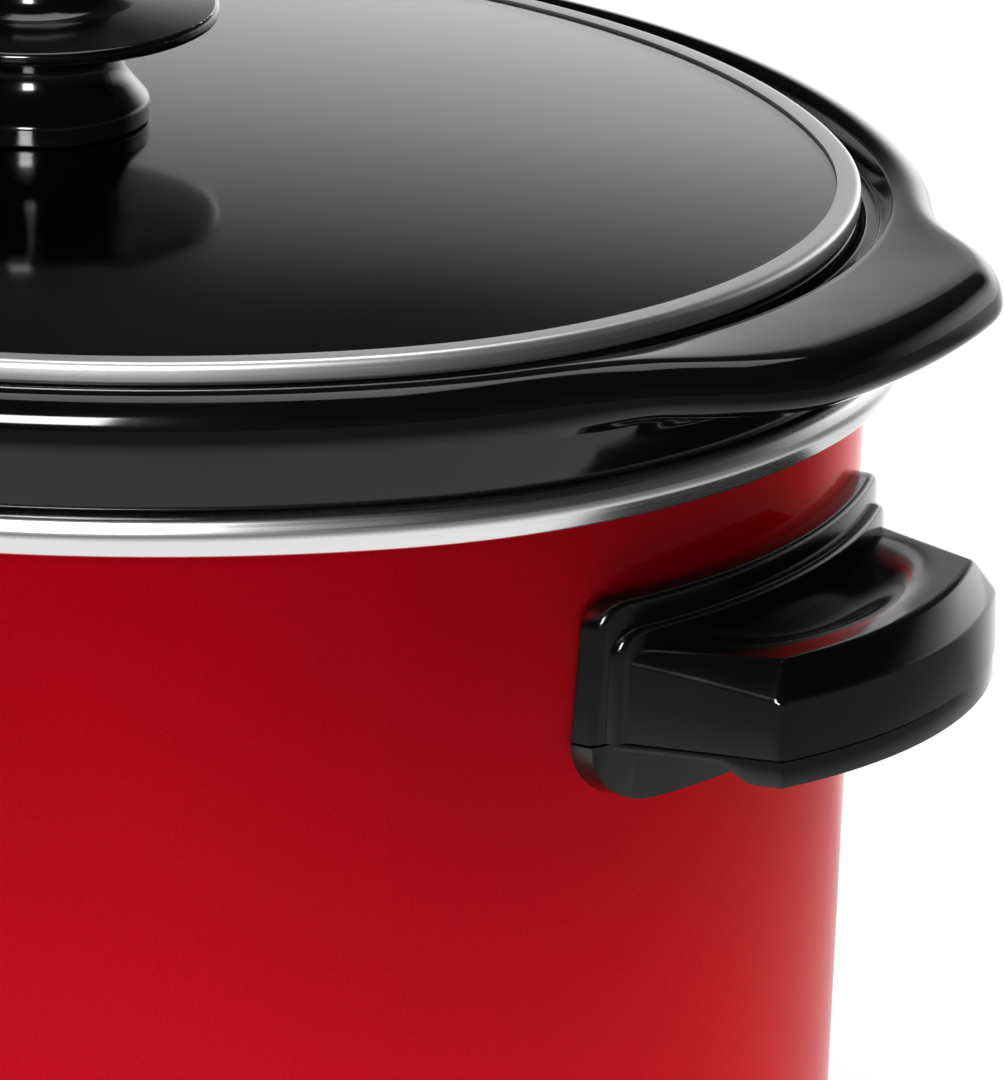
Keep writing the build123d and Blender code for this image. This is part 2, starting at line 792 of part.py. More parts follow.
def switch_bracket():
    """Bent steel bracket on the base plate."""
    front = bracket_front()
    high = control_height + switch_size / 2 + bracket_margin
    section = bent_sheet(
        [(front, high), (front, housing_bottom), (front + bracket_foot, housing_bottom)],
        [bracket_bend], bracket_sheet)
    body = extrude(Plane.YZ * section, bracket_half_width, both=True)
    return body - rod(bushing_radius, front - 1, front + bracket_sheet + 1, 0, control_height)


def switch_nut():
    back = bracket_front()
    hexagon = RegularPolygon(switch_nut_flats / 2, 6, major_radius=False) - Circle(bushing_radius)
    nut = Rot(-90, 0, 0) * extrude(hexagon, switch_nut_height)
    return Pos(0, back - switch_nut_height, control_height) * nut


def gland_face():
    return lid_half_width + housing_outside(gland_height)


def cord_gland():
    """Moulded entry for a flat cord, low on the back."""
    outer = gland_face() + gland_flange
    body = rod(gland_flange_radius, gland_face() - 4, outer, 0, gland_height)
    body = fillet(body.edges().filter_by(GeomType.CIRCLE).sort_by(Axis.Y)[-1], gland_edge)
    body = (body - housing_core()) + rod(
        gland_neck_radius, gland_face() - gland_neck, gland_face() + 1, 0, gland_height)
    slot = Rot(-90, 0, 0) * extrude(SlotOverall(cord_slot_length, cord_slot_width), 60)
    return body - Pos(0, gland_face() - 40, gland_height) * slot


def block_back():
    return gland_face() - block_setback


def terminal_block():
    """Ceramic block on the base plate, with three wells for its screws."""
    body = Pos(0, block_back() - block_width / 2, housing_bottom + block_height / 2) * Box(
        block_length, block_width, block_height)
    for place in (-1, 0, 1):
        body -= disc(well_radius, housing_bottom + well_floor, housing_bottom + block_height,
                     place * block_pitch, block_back() - block_width / 2)
    return body


def terminal_screws():
    y = block_back() - block_width / 2
    return Compound([
        disc(well_radius, housing_bottom + well_floor, housing_bottom + block_height - well_screw_drop,
             place * block_pitch, y)
        for place in (-1, 0, 1)])


def fuse_level():
    return liner_floor - liner_sheet - fuse_radius


def thermal_fuse():
    """Thermal cut-out under the liner's floor."""
    bar = Rot(0, 90, 0) * extrude(Circle(fuse_radius), fuse_length / 2, both=True)
    return Pos(0, fuse_place, fuse_level()) * bar


def fuse_clip():
    """Spring clip, welded to the liner, that holds the cut-out up."""
    top = liner_floor - liner_sheet
    reach = fuse_radius + clip_sheet
    end = reach + clip_foot
    under = top - clip_sheet
    inner_low = top - 2 * fuse_radius
    outer_low = inner_low - clip_sheet
    strap = outline([
        (-end, top, 0), (-end, under, 0), (-reach, under, 0),
        (-reach, outer_low, reach - clip_air), (reach, outer_low, reach - clip_air),
        (reach, under, 0), (end, under, 0), (end, top, 0),
        (fuse_radius, top, 0), (fuse_radius, inner_low, fuse_radius - clip_air),
        (-fuse_radius, inner_low, fuse_radius - clip_air), (-fuse_radius, top, 0),
    ])
    return Pos(0, fuse_place, 0) * extrude(Plane.YZ * strap, clip_width / 2, both=True)


def lead(points):
    """Insulated wire on straight runs joined by arcs."""
    path = FilletPolyline(*points, radius=lead_bend)
    return sweep(Plane(path @ 0, z_dir=path % 0) * Circle(lead_radius), path)


def lead_low():
    return housing_bottom + lead_rise


def live_lead():
    """From the terminal block to the switch's back."""
    x = -block_pitch
    start = block_back() - block_width
    end = bracket_front() + bracket_sheet + switch_depth
    return lead([
        (x, start, lead_low()), (x, start - 22, lead_low()), (x - 12, start - 60, lead_low()),
        (x - 12, end + 50, lead_low()), (x + 3, end + 22, control_height), (x + 3, end, control_height)])


def neutral_lead():
    """From the terminal block up to one end of the thermal cut-out."""
    x = block_pitch
    start = block_back() - block_width
    side = fuse_length / 2 + 18
    return lead([
        (x, start, lead_low()), (x, start - lead_start, lead_low()),
        (side, fuse_place + lead_start, fuse_level()),
        (side, fuse_place, fuse_level()), (fuse_length / 2, fuse_place, fuse_level())])


def band_tail(x):
    """Middle of the heating band's lower edge at one place along the length, on the +Y side."""
    radius = side_radius + liner_outside(band_low) + band_thickness / 2
    return (radius**2 - x**2)**0.5 - side_centre


def fuse_lead():
    """From the cut-out's other end to the heating band's tail at the back."""
    tail = fuse_tail
    low = fuse_level() - tail_drop
    x = fuse_length / 2
    y = band_tail(tail)
    return lead([
        (-x, fuse_place, fuse_level()), (-x - lead_start, fuse_place, fuse_level()),
        (-tail, fuse_place, low), (-tail, y, low), (-tail, y, band_low)])


def heater_lead():
    """From the switch's back to the heating band's tail at the front."""
    tail = switch_tail
    y = band_tail(tail)
    start = bracket_front() + bracket_sheet + switch_depth
    level = control_height - switch_tab
    return lead([
        (switch_tab, start, control_height), (switch_tab, start + lead_start, control_height),
        (tail, start + lead_start, level),
        (tail, -y, level), (tail, -y, band_low)])


nodes = {
    "outer_housing": outer_housing(), "trim_ring": trim_ring(), "heating_liner": heating_liner(),
    "heating_band": heating_band(), "band_straps": band_straps(),
    "insulation_blanket": insulation_blanket(), "stoneware_crock": stoneware_crock(),
    "lid_glass": lid_glass(), "lid_band": lid_band(), "lid_knob_base": lid_knob_base(),
    "lid_knob_grip": lid_knob_grip(), "lid_knob_screw": lid_knob_screw(),
    "lid_knob_washer": lid_knob_washer(), "handle_screws": handle_screws(), "base_plate": base_plate(),
    "tie_stud": tie_stud(), "tie_washer": tie_washer(), "tie_nut": tie_nut(),
    "foot_screws": foot_screws(), "control_bezel": control_bezel(), "control_knob": control_knob(),
    "knob_pointer": knob_pointer(), "knob_shaft": knob_shaft(), "rotary_switch": rotary_switch(),
    "switch_bracket": switch_bracket(), "switch_nut": switch_nut(), "cord_gland": cord_gland(),
    "terminal_block": terminal_block(), "terminal_screws": terminal_screws(),
    "thermal_fuse": thermal_fuse(), "fuse_clip": fuse_clip(), "live_lead": live_lead(),
    "neutral_lead": neutral_lead(), "fuse_lead": fuse_lead(), "heater_lead": heater_lead(),
}
for name, make in (("body", handle_body), ("cover", handle_cover), ("backing", handle_backing)):
    right = make()
    nodes[f"handle_{name}_right"] = right
    nodes[f"handle_{name}_left"] = mirror(right, about=Plane.YZ)
for corner, (x, y) in foot_places().items():
    nodes[f"foot_{corner}"] = foot(x, y)
    nodes[f"foot_pad_{corner}"] = foot_pad(x, y)

for name, shape in nodes.items():
    export_step(shape, f"parts/{name}.step")
    print(name, round(shape.volume))
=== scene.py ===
import bpy
import bmesh
import json
import math
from mathutils import Matrix, Vector


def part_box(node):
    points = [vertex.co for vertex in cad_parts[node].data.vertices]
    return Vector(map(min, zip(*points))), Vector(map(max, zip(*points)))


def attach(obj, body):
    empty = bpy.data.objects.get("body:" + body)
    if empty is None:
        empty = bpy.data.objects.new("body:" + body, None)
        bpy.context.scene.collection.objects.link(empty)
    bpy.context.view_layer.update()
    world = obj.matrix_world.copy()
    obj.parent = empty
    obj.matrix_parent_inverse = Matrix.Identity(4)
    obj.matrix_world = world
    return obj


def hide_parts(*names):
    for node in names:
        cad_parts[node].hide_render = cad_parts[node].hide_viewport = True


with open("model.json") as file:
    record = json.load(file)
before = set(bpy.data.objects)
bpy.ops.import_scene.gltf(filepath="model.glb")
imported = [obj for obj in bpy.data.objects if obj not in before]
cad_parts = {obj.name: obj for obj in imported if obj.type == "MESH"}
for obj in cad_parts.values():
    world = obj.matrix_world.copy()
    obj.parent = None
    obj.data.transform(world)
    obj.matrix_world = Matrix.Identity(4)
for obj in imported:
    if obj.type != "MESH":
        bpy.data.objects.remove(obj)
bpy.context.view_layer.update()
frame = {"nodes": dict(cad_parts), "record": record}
print("frame loaded:", len(frame["nodes"]), "nodes")

mm = 0.001

# Plan shapes are offsets of one oval, the outside of the lid band: two end arcs and two side arcs.
# Lengths in the piece settings are mm, and heights in them are measured from the lid seat.
bandLow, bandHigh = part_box("lid_band")
trimLow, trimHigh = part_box("trim_ring")
crockLow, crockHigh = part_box("stoneware_crock")
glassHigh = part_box("lid_glass")[1]
handleLow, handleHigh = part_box("handle_body_right")
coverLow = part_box("handle_cover_right")[0]
bezelLow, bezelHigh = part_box("control_bezel")
oval = {"halfLength": bandHigh.x / mm, "halfWidth": bandHigh.y / mm, "fullness": 0.72, "endSteps": 96,
        "sideSteps": 96}
seat = bandLow.z
endRadius = oval["halfWidth"] - oval["fullness"] * (oval["halfLength"] - oval["halfWidth"])
endCentre = oval["halfLength"] - endRadius
sideDrop = oval["halfWidth"] - endRadius
sideCentre = (endCentre ** 2 - sideDrop ** 2) / (2 * sideDrop)
sideRadius = oval["halfWidth"] + sideCentre
endSpan = 2 * math.atan2(sideCentre, endCentre)


def heightOf(z):
    return (z - seat) / mm


def smoothStep(low, high, value):
    t = min(max((value - low) / (high - low), 0), 1)
    return t * t * (3 - 2 * t)


def softMin(a, b, width):
    h = min(max(0.5 + 0.5 * (b - a) / width, 0), 1)
    return b + (a - b) * h - width * h * (1 - h)


def softMax(a, b, width):
    return -softMin(-a, -b, width)


def hexColour(code):
    # sRGB hex to linear
    channels = [int(code[i:i + 2], 16) / 255 for i in (1, 3, 5)]
    return [c / 12.92 if c <= 0.04045 else ((c + 0.055) / 1.055) ** 2.4 for c in channels] + [1.0]


def addNode(tree, kind, settings=None, links=None):
    node = tree.nodes.new(kind)
    for key, value in (settings or {}).items():
        if isinstance(key, int) or key in node.inputs:
            node.inputs[key].default_value = value
        else:
            setattr(node, key, value)
    for key, source in (links or {}).items():
        tree.links.new(source, node.inputs[key])
    return node


def startMaterial(name, settings):
    material = bpy.data.materials.new(name)
    material.use_nodes = True
    tree = material.node_tree
    shader = tree.nodes["Principled BSDF"]
    for key, value in settings.items():
        shader.inputs[key].default_value = value
    place = addNode(tree, "ShaderNodeTexCoord").outputs["Object"]
    return material, tree, shader, place


def linkShader(tree, shader, outputs):
    for key, output in outputs.items():
        tree.links.new(output, shader.inputs[key])


def candyRedLacquer():
    # Tinted clear lacquer over a fine aluminium flake coat, sprayed on steel: a deep red with a soft
    # metallic glow, a glassy top and a trace of orange peel.
    look = {"flakeMm": 0.4, "peelMm": 6.0, "cloudMm": 60.0, "dull": 0.42, "bright": 0.38}
    material, tree, shader, place = startMaterial("candyRedLacquer", {
        "Metallic": 1.0, "Roughness": 0.38, "Coat Weight": 0.5, "Coat Roughness": 0.06, "Coat IOR": 1.25,
        "Specular Tint": hexColour("#ff707c")})
    flakes = addNode(tree, "ShaderNodeTexVoronoi", {"Scale": 1000 / look["flakeMm"]}, {"Vector": place})
    flake = flakes.outputs["Distance"]
    tones = addNode(tree, "ShaderNodeMix", {"data_type": "RGBA", 6: hexColour("#d2001a"),
                                            7: hexColour("#b60014")}, {0: flake})
    clouds = addNode(tree, "ShaderNodeTexNoise", {"Scale": 1000 / look["cloudMm"], "Detail": 2.0},
                     {"Vector": place})
    rough = addNode(tree, "ShaderNodeMapRange", {1: 0.3, 2: 0.7, 3: look["bright"], 4: look["dull"]},
                    {0: clouds.outputs[0]})
    peel = addNode(tree, "ShaderNodeTexNoise", {"Scale": 1000 / look["peelMm"], "Detail": 1.0},
                   {"Vector": place})
    coatBump = addNode(tree, "ShaderNodeBump", {"Strength": 0.03, "Distance": 0.0004},
                       {"Height": peel.outputs[0]})
    grain = addNode(tree, "ShaderNodeBump", {"Strength": 0.1, "Distance": 0.00004}, {"Height": flake})
    linkShader(tree, shader, {"Base Color": tones.outputs[2], "Roughness": rough.outputs[0],
                              "Coat Normal": coatBump.outputs[0], "Normal": grain.outputs[0]})
    return material


def satinSteel(name="satinStainless", tone="#dcdcdd", roughness=0.26):
    # Stainless sheet rolled to shape and satin finished: level hair lines, finer than they are drawn,
    # soften what it mirrors.
    look = {"lineMm": 0.35, "runMm": 60.0, "bright": 0.03, "dull": 0.04}
    material, tree, shader, place = startMaterial(name, {"Metallic": 1.0, "Base Color": hexColour(tone)})
    run, line = 1000 / look["runMm"], 1000 / look["lineMm"]
    stretch = addNode(tree, "ShaderNodeMapping", {"Scale": (run, run, line)}, {"Vector": place})
    lines = addNode(tree, "ShaderNodeTexNoise", {"Scale": 1.0, "Detail": 3.0},
                    {"Vector": stretch.outputs[0]})
    rough = addNode(tree, "ShaderNodeMapRange", {1: 0.3, 2: 0.7, 3: roughness - look["bright"],
                                                 4: roughness + look["dull"]}, {0: lines.outputs[0]})
    bump = addNode(tree, "ShaderNodeBump", {"Strength": 0.05, "Distance": 0.00002},
                   {"Height": lines.outputs[0]})
    linkShader(tree, shader, {"Roughness": rough.outputs[0], "Normal": bump.outputs[0]})
    return material


def blackGlaze():
    # Fired gloss glaze on stoneware: deep black and very glossy, with a slow waviness and a few pits
    look = {"waveMm": 24.0, "pitMm": 9.0, "pitEdge": 0.05, "bright": 0.06, "dull": 0.11}
    material, tree, shader, place = startMaterial("blackGlaze", {"IOR": 1.37})
    waves = addNode(tree, "ShaderNodeTexNoise", {"Scale": 1000 / look["waveMm"], "Detail": 1.5},
                    {"Vector": place})
    tones = addNode(tree, "ShaderNodeMix", {"data_type": "RGBA", 6: hexColour("#070707"),
                                            7: hexColour("#0d0d0e")}, {0: waves.outputs[0]})
    rough = addNode(tree, "ShaderNodeMapRange", {1: 0.3, 2: 0.7, 3: look["bright"], 4: look["dull"]},
                    {0: waves.outputs[0]})
    bump = addNode(tree, "ShaderNodeBump", {"Strength": 0.05, "Distance": 0.001},
                   {"Height": waves.outputs[0]})
    pits = addNode(tree, "ShaderNodeTexVoronoi", {"Scale": 1000 / look["pitMm"]}, {"Vector": place})
    pitShape = addNode(tree, "ShaderNodeMapRange", {1: 0.0, 2: look["pitEdge"], 3: 0.0, 4: 1.0},
                       {0: pits.outputs["Distance"]})
    pitBump = addNode(tree, "ShaderNodeBump", {"Strength": 0.12, "Distance": 0.00008},
                      {"Height": pitShape.outputs[0], "Normal": bump.outputs[0]})
    linkShader(tree, shader, {"Base Color": tones.outputs[2], "Roughness": rough.outputs[0],
                              "Normal": pitBump.outputs[0]})
    return material


def temperedGlass():
    # Soda-lime lid glass, pressed and tempered: neutral grey, with the faintest roller wave
    look = {"waveMm": 90.0, "bright": 0.07, "dull": 0.1}
    material, tree, shader, place = startMaterial("temperedGlass", {
        "IOR": 1.52, "Transmission Weight": 1.0, "Base Color": hexColour("#8f9193")})
    wave = addNode(tree, "ShaderNodeTexNoise", {"Scale": 1000 / look["waveMm"], "Detail": 1.0},
                   {"Vector": place})
    rough = addNode(tree, "ShaderNodeMapRange", {1: 0.3, 2: 0.7, 3: look["bright"], 4: look["dull"]},
                    {0: wave.outputs[0]})
    bump = addNode(tree, "ShaderNodeBump", {"Strength": 0.02, "Distance": 0.001},
                   {"Height": wave.outputs[0]})
    linkShader(tree, shader, {"Roughness": rough.outputs[0], "Normal": bump.outputs[0]})
    return material


def blackPlastic(name="blackPhenolic", tone="#080808", roughness=0.13, grainMm=0.6, strength=0.04):
    # Compression-moulded phenolic: near black and glossy, with a faint flow and moulded grain
    look = {"flowMm": 22.0, "bright": 0.03, "dull": 0.05}
    material, tree, shader, place = startMaterial(name, {"IOR": 1.5, "Base Color": hexColour(tone)})
    grain = addNode(tree, "ShaderNodeTexNoise", {"Scale": 1000 / grainMm, "Detail": 2.0}, {"Vector": place})
    flow = addNode(tree, "ShaderNodeTexNoise", {"Scale": 1000 / look["flowMm"], "Detail": 2.0},
                   {"Vector": place})
    rough = addNode(tree, "ShaderNodeMapRange", {1: 0.3, 2: 0.7, 3: roughness - look["bright"],
                                                 4: roughness + look["dull"]}, {0: flow.outputs[0]})
    bump = addNode(tree, "ShaderNodeBump", {"Strength": strength, "Distance": 0.00005},
                   {"Height": grain.outputs[0]})
    linkShader(tree, shader, {"Roughness": rough.outputs[0], "Normal": bump.outputs[0]})
    return material


def grainyMetal(name, tone, roughness, grainMm, strength=0.2):
    # a bare or plated metal whose fine grain dulls and brightens it in patches
    look = {"bright": 0.08, "dull": 0.1}
    material, tree, shader, place = startMaterial(name, {"Metallic": 1.0, "Base Color": hexColour(tone)})
    grain = addNode(tree, "ShaderNodeTexNoise", {"Scale": 1000 / grainMm, "Detail": 4.0}, {"Vector": place})
    rough = addNode(tree, "ShaderNodeMapRange", {1: 0.3, 2: 0.7, 3: roughness - look["bright"],
                                                 4: roughness + look["dull"]}, {0: grain.outputs[0]})
    bump = addNode(tree, "ShaderNodeBump", {"Strength": strength, "Distance": 0.00008},
                   {"Height": grain.outputs[0]})
    linkShader(tree, shader, {"Roughness": rough.outputs[0], "Normal": bump.outputs[0]})
    return material


def mattSolid(name, toneLow, toneHigh, roughness, grainMm, depthMm):
    # a dull solid, two close tones mottled by its grain
    material, tree, shader, place = startMaterial(name, {"Roughness": roughness})
    grain = addNode(tree, "ShaderNodeTexNoise", {"Scale": 1000 / grainMm, "Detail": 4.0}, {"Vector": place})
    tones = addNode(tree, "ShaderNodeMix", {"data_type": "RGBA", 6: hexColour(toneLow),
                                            7: hexColour(toneHigh)}, {0: grain.outputs[0]})
    bump = addNode(tree, "ShaderNodeBump", {"Strength": 0.5, "Distance": depthMm * mm},
                   {"Height": grain.outputs[0]})
    linkShader(tree, shader, {"Base Color": tones.outputs[2], "Normal": bump.outputs[0]})
    return material


looks = {
    "red_housing": candyRedLacquer(),
    "satin_trim": satinSteel(),
    "black_glaze": blackGlaze(),
    "smoked_glass": temperedGlass(),
    "black_phenolic": blackPlastic(),
    "black_nylon": blackPlastic("blackNylon", "#111112", 0.45, 0.8, 0.3),  # fine spark-eroded moulding
    "liner_steel": satinSteel("aluminisedSteel", "#b9bbbd", 0.34),  # hot-dip coated sheet, duller
    "plated_steel": grainyMetal("zincPlate", "#b4b7ba", 0.3, 1.2),  # bright zinc, slightly mottled
    "band_foil": grainyMetal("creasedFoil", "#d4d5d6", 0.28, 4.0, 0.5),  # household-thickness foil, creased
    "brass_shaft": grainyMetal("turnedBrass", "#c8a25a", 0.25, 0.5),  # machined, faint tool marks
    "glass_fibre": mattSolid("glassFibreFelt", "#cfc8b4", "#e8e3d5", 0.95, 1.5, 0.5),  # needled felt
    "silicone": mattSolid("blackSilicone", "#141414", "#1d1d1d", 0.62, 0.8, 0.03),  # moulded, dull
    "base_steel": mattSolid("powderCoat", "#141516", "#1e1f20", 0.55, 0.6, 0.04),  # baked, fine pebble
    "pale_inlay": mattSolid("paleInlay", "#dcdcd8", "#eeeeea", 0.4, 0.6, 0.01),  # moulded urea
    "switch_body": mattSolid("brownPhenolic", "#5b3319", "#6d4224", 0.35, 1.0, 0.02),  # filled moulding
    "ceramic": mattSolid("steatite", "#ddd8cb", "#ebe7dd", 0.6, 0.7, 0.02),  # pressed, unglazed
    "wire_sleeve": mattSolid("braidedSleeve", "#c9c6bb", "#dedbd1", 0.7, 0.7, 0.1),  # braid, as fine grain
}
for entry in frame["record"]["subparts"]:
    slots = frame["nodes"][entry["node"]].data.materials
    slots.clear()
    slots.append(looks[entry["material_slot"]])
print("materials made:", len(looks))


def toObject(name, bm, look, body, replaced=(), sharpDegrees=35):
    # the shape is in mm about the table's origin until here
    bmesh.ops.scale(bm, vec=(mm, mm, mm), verts=bm.verts)
    mesh = bpy.data.meshes.new(name)
    bm.to_mesh(mesh)
    bm.free()
    mesh.shade_smooth()
    mesh.set_sharp_from_angle(angle=math.radians(sharpDegrees))
    mesh.materials.append(looks[look])
    piece = bpy.data.objects.new(name, mesh)
    bpy.context.scene.collection.objects.link(piece)
    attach(piece, body)
    if replaced:
        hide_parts(*replaced)
    return piece


def bevelEdges(bm, edges, offset, segments=3):
    bmesh.ops.bevel(bm, geom=edges, offset=offset, offset_type="OFFSET", segments=segments, profile=0.5,
                    affect="EDGES", clamp_overlap=True, material=-1)


def roundCorners(bm, corners, segments, toPoint):
    # flat face from (across, height, rounding) corners
    points = [Vector(toPoint(a, z)) for a, z, _ in corners]
    verts = [bm.verts.new(point) for point in points]
    bm.faces.new(verts)
    for index, (_, _, radius) in enumerate(corners):
        if radius == 0:
            continue
        before = points[index - 1] - points[index]
        after = points[(index + 1) % len(points)] - points[index]
        reach = radius / math.tan(before.angle(after) / 2)
        bmesh.ops.bevel(bm, geom=[verts[index]], offset=reach, offset_type="OFFSET", segments=segments,
                        profile=0.5, affect="VERTICES", material=-1)


def sheetSection(points, radii, thickness):
    # corners of a bent sheet that lies to the left of the points
    face = [Vector(p) for p in points]
    runs = [(b - a).normalized() for a, b in zip(face, face[1:])]
    left = [Vector((-run.y, run.x)) for run in runs]
    back = [face[0] + left[0] * thickness]
    backRadii = []
    for index, radius in enumerate(radii):
        one, two = left[index], left[index + 1]
        turnsLeft = runs[index].cross(runs[index + 1]) > 0
        back.append(face[index + 1] + (one + two) * (thickness / (1 + one.dot(two))))
        backRadii.append(radius - thickness if turnsLeft else radius + thickness)
    back.append(face[-1] + left[-1] * thickness)
    front = [(p.x, p.y, r) for p, r in zip(face, [0, *radii, 0])]
    rear = [(p.x, p.y, r) for p, r in zip(back, [0, *backRadii, 0])]
    return front + rear[::-1]


def ovalSweep(corners, segments=6, endSteps=oval["endSteps"], sideSteps=oval["sideSteps"]):
    # closed ring: a section of (offset, height, rounding) corners carried round the oval's four arcs
    bm = bmesh.new()
    roundCorners(bm, corners, segments, lambda offset, z: (offset, 0, z + seat / mm))
    bmesh.ops.delete(bm, geom=list(bm.faces), context="FACES_ONLY")
    place = Matrix.Translation((endCentre, 0, 0)) @ Matrix.Rotation(-endSpan / 2, 4, "Z")
    bmesh.ops.transform(bm, matrix=place @ Matrix.Translation((endRadius, 0, 0)), verts=bm.verts)
    sideSpan = math.pi - endSpan
    arcs = ((endCentre, 0, endSpan, endSteps), (0, -sideCentre, sideSpan, sideSteps),
            (-endCentre, 0, endSpan, endSteps), (0, sideCentre, sideSpan, sideSteps))
    moving = list(bm.verts) + list(bm.edges)
    for x, y, angle, steps in arcs:
        moving = bmesh.ops.spin(bm, geom=moving, cent=(x, y, 0), axis=(0, 0, 1), angle=angle, steps=steps,
                                use_duplicate=False)["geom_last"]
    bmesh.ops.remove_doubles(bm, verts=bm.verts, dist=0.01)
    bmesh.ops.recalc_face_normals(bm, faces=bm.faces)
    return bm


trimRing = {"sheet": 0.8, "foot": 2.2, "turn": 8.4, "turnRise": 2.0, "bulge": 10.6, "shoulder": 3.6,
            "crown": 9.4, "inside": -5.2, "bends": (1.2, 2.6, 1.8)}
trimTop, trimFoot = heightOf(trimHigh.z), heightOf(trimLow.z)
bm = ovalSweep(sheetSection(
    [(trimRing["foot"], trimFoot), (trimRing["turn"], trimFoot + trimRing["turnRise"]),
     (trimRing["bulge"], trimTop - trimRing["shoulder"]), (trimRing["crown"], trimTop),
     (trimRing["inside"], trimTop)],
    trimRing["bends"], trimRing["sheet"]), segments=8)
toObject("trimRing", bm, "satin_trim", "base", ["trim_ring"])

channel = {"height": 4.4, "width": 4.6, "sheet": 0.8, "bends": (1.0, 1.4), "lip": 3.6}
bm = ovalSweep(sheetSection(
    [(-channel["lip"], 0), (0, 0), (0, channel["height"]), (-channel["width"], channel["height"])],
    channel["bends"], channel["sheet"]))
lidBand = toObject("lidBand", bm, "satin_trim", "lid", ["lid_band"])
lidBand.data.materials[0] = satinSteel("satinBandSteel", "#e2e2e3", 0.42)  # more rubbed than the ring

print("steel rings made")

# Crock: one glazed ring with floor, whose roll is pushed outwards at both ends into the lifting ears
crock = {"seat": -0.3, "flange": 9.7, "wall": 8.0, "floor": 8.5, "floorMargin": 4, "corner": 28.0,
         "taper": 0.072, "wallTop": -8.0, "neckRound": 4, "lipInside": 2.6, "lipRound": 3.5,
         "lipOutside": 8.0, "lipLow": -21.7, "footRounds": (1.2, 2.0), "bulge": 16.2, "rollDrop": 4,
         "rollRound": 8, "crownIn": 5.2, "crownRise": 3.2, "crownRound": 5,
         "gutter": ((6.0, 1.6, 1.5), (3.6, -3, 1.4), (0.4, -3, 1.2), (-0.4, 0, 0.8)),
         "ledgeIn": -12.5, "ledgeRound": 3, "throat": -13.3, "throatRound": 8,
         "skirtCuts": (0.25, 0.4, 0.46, 0.5, 0.54, 0.58, 0.61, 0.64, 0.67)}
ear = {"cornerX": 2.4, "cornerHalf": 35.5, "rootHalf": 58.0, "rootOffset": 15.6, "frontBow": 150.0,
       "cornerBlend": 9.0, "rootBlend": 7.0, "rollOffset": 14.6, "shelfIn": 6.0, "shelfOut": 9.5,
       "edgeTop": -4.5, "edgeLow": -9.5, "underEnd": -13.5}
wallTop = trimTop - trimRing["sheet"]
crockFoot = heightOf(crockLow.z)


def crockOutside(z):
    return crock["wallTop"] - crock["taper"] * (wallTop - z)


def crockInside(z):
    return crockOutside(z) - crock["wall"]


def earPush(angle):
    # how far the rim's edge stands out beyond the plain roll, round the end arc's centre
    half = abs(angle)
    tip = crockHigh.x / mm - endCentre
    front = tip / math.cos(half) - (tip * math.tan(half)) ** 2 / (2 * ear["frontBow"])
    corner = Vector((tip - ear["cornerX"], ear["cornerHalf"]))
    rootRadius = endRadius + ear["rootOffset"]
    root = Vector((math.sqrt(rootRadius ** 2 - ear["rootHalf"] ** 2), ear["rootHalf"]))
    along = (root - corner).normalized()
    across = Vector((along.y, -along.x))
    flank = across.dot(corner) / across.dot(Vector((math.cos(half), math.sin(half))))
    roll = endRadius + ear["rollOffset"]
    return softMax(softMin(front, flank, ear["cornerBlend"]), roll, ear["rootBlend"]) - roll


def pushEars(bm):
    edgeRadius = ear["edgeTop"] - ear["edgeLow"]
    for vert in bm.verts:
        side = math.copysign(1, vert.co.x)
        arm = Vector((vert.co.x * side - endCentre, vert.co.y))
        angle = math.atan2(arm.y, arm.x)
        z = vert.co.z - seat / mm
        offset = arm.length - endRadius
        if abs(angle) > endSpan / 2 or z < ear["underEnd"] or offset < ear["shelfIn"]:
            continue
        push = earPush(angle)
        rounding = min(edgeRadius, push)
        if z >= ear["edgeTop"]:
            move = push * smoothStep(ear["shelfIn"], ear["shelfOut"], offset)
        elif z >= ear["edgeLow"]:
            drop = (ear["edgeTop"] - z) / edgeRadius
            move = push - rounding * (1 - math.sqrt(1 - drop ** 2))
        else:
            run = (z - ear["underEnd"]) / (ear["edgeLow"] - ear["underEnd"])
            move = (push - rounding) * run ** 2
        arm = arm.normalized() * (arm.length + move)
        vert.co.x = side * (arm.x + endCentre)
        vert.co.y = arm.y


top = crock["seat"]
under = top - crock["flange"]
floorTop = crockFoot + crock["floor"]
flat = crockInside(floorTop) - crock["corner"] - crock["floorMargin"]
rollLow = Vector((crock["lipOutside"], crock["lipLow"]))
rollHigh = Vector((crock["bulge"], top - crock["rollDrop"]))
skirt = [rollLow.lerp(rollHigh, cut) for cut in crock["skirtCuts"]]
insideFoot, outsideFoot = crock["footRounds"]
bm = ovalSweep([
    (flat, crockFoot, 0), (crockOutside(crockFoot), crockFoot, crock["corner"]),
    (crockOutside(under), under, crock["neckRound"]), (crock["lipInside"], under, crock["lipRound"]),
    (crock["lipInside"], crock["lipLow"], insideFoot), (*rollLow, outsideFoot),
    *[(*point, 0) for point in skirt], (*rollHigh, crock["rollRound"]),
    (crock["bulge"] - crock["crownIn"], top + crock["crownRise"], crock["crownRound"]),
    *[(offset, top + rise, rounding) for offset, rise, rounding in crock["gutter"]],
    (crock["ledgeIn"], top, crock["ledgeRound"]),
    (crockInside(crock["throat"]), crock["throat"], crock["throatRound"]),
    (crockInside(floorTop), floorTop, crock["corner"] - crock["wall"]), (flat, floorTop, 0)],
    segments=10, endSteps=120, sideSteps=80)
pushEars(bm)
toObject("crock", bm, "black_glaze", "crock", ["stoneware_crock"], sharpDegrees=60)
print("crock made")


def arcReach(centre, radius, direction):
    along = centre.dot(direction)
    return along + math.sqrt(along ** 2 - centre.length_squared + radius ** 2)


